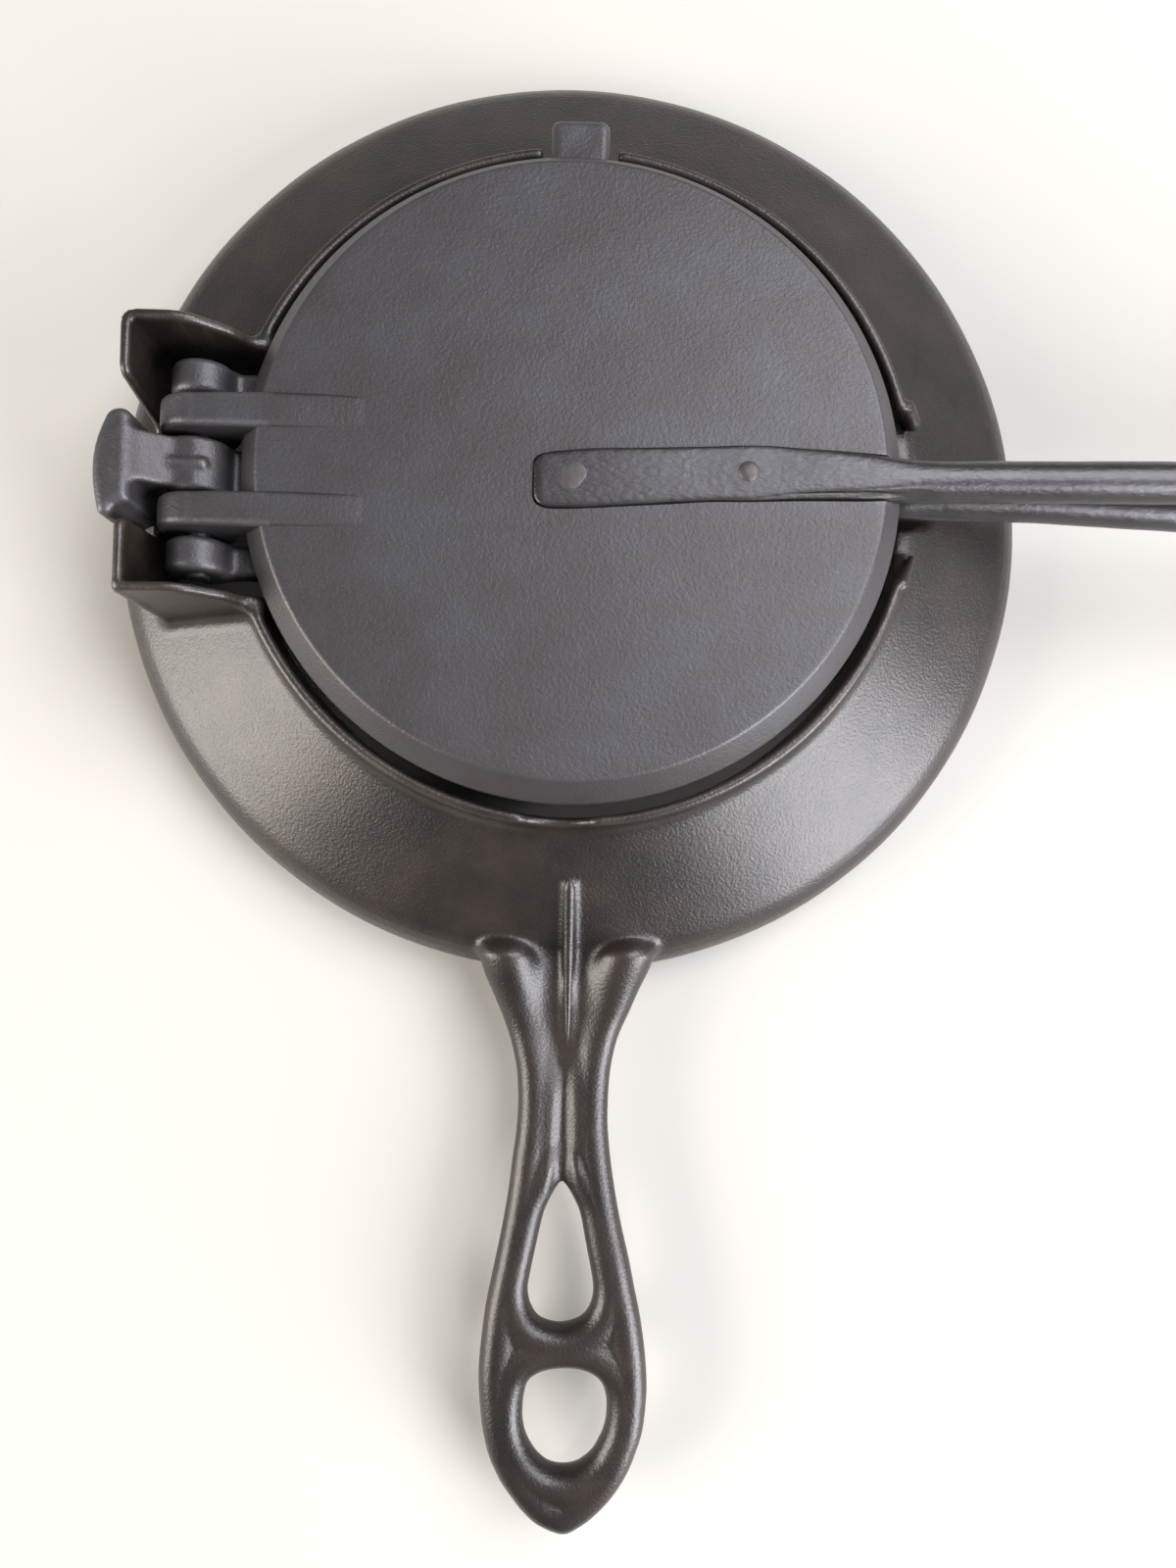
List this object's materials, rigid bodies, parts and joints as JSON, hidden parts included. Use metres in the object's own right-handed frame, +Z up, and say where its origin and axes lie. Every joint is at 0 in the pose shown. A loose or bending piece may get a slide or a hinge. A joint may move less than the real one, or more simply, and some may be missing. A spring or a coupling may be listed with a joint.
{
  "type": "pizzelle iron",
  "caption": "Stove-top pizzelle iron: two hinged round cast plates with long rod handles, set in a domed cast ring with a hinge pocket and a looped side handle.",
  "frame": {"origin": "centre of the ring at the stove top, on the plane that the rim rests on", "axes": "+X along the plate handles, away from the hinge; the base handle points along -Y; +Z up"},
  "size_m": [0.457, 0.4006, 0.0615],
  "materials": {
    "ring_iron": "seasoned, semi-gloss, pebbly",
    "plate_iron": "seasoned, dry satin, fine pits",
    "wrought_iron": "wrought, oiled satin",
    "rivet_iron": "hammered, satin"
  },
  "bodies": {
    "base": {"base_casting": "ring_iron"},
    "lower_iron": {"lower_plate": "plate_iron", "lower_handle": "wrought_iron", "lower_flush_rivet": "rivet_iron", "lower_domed_rivet": "rivet_iron", "hinge_pin": "rivet_iron"},
    "upper_iron": {"upper_plate": "plate_iron", "upper_handle": "wrought_iron", "upper_flush_rivet": "rivet_iron", "upper_domed_rivet": "rivet_iron"}
  },
  "joints": [
    {"name": "lift_out", "type": "slide", "parent": "base", "child": "lower_iron", "axis": [0, 0, 1], "range_m": [0, 0.08]},
    {"name": "plate_hinge", "type": "hinge", "parent": "lower_iron", "child": "upper_iron", "pos_m": [-0.093, 0, 0.0464], "axis": [0, -1, 0], "range_deg": [0, 90]}
  ]
}
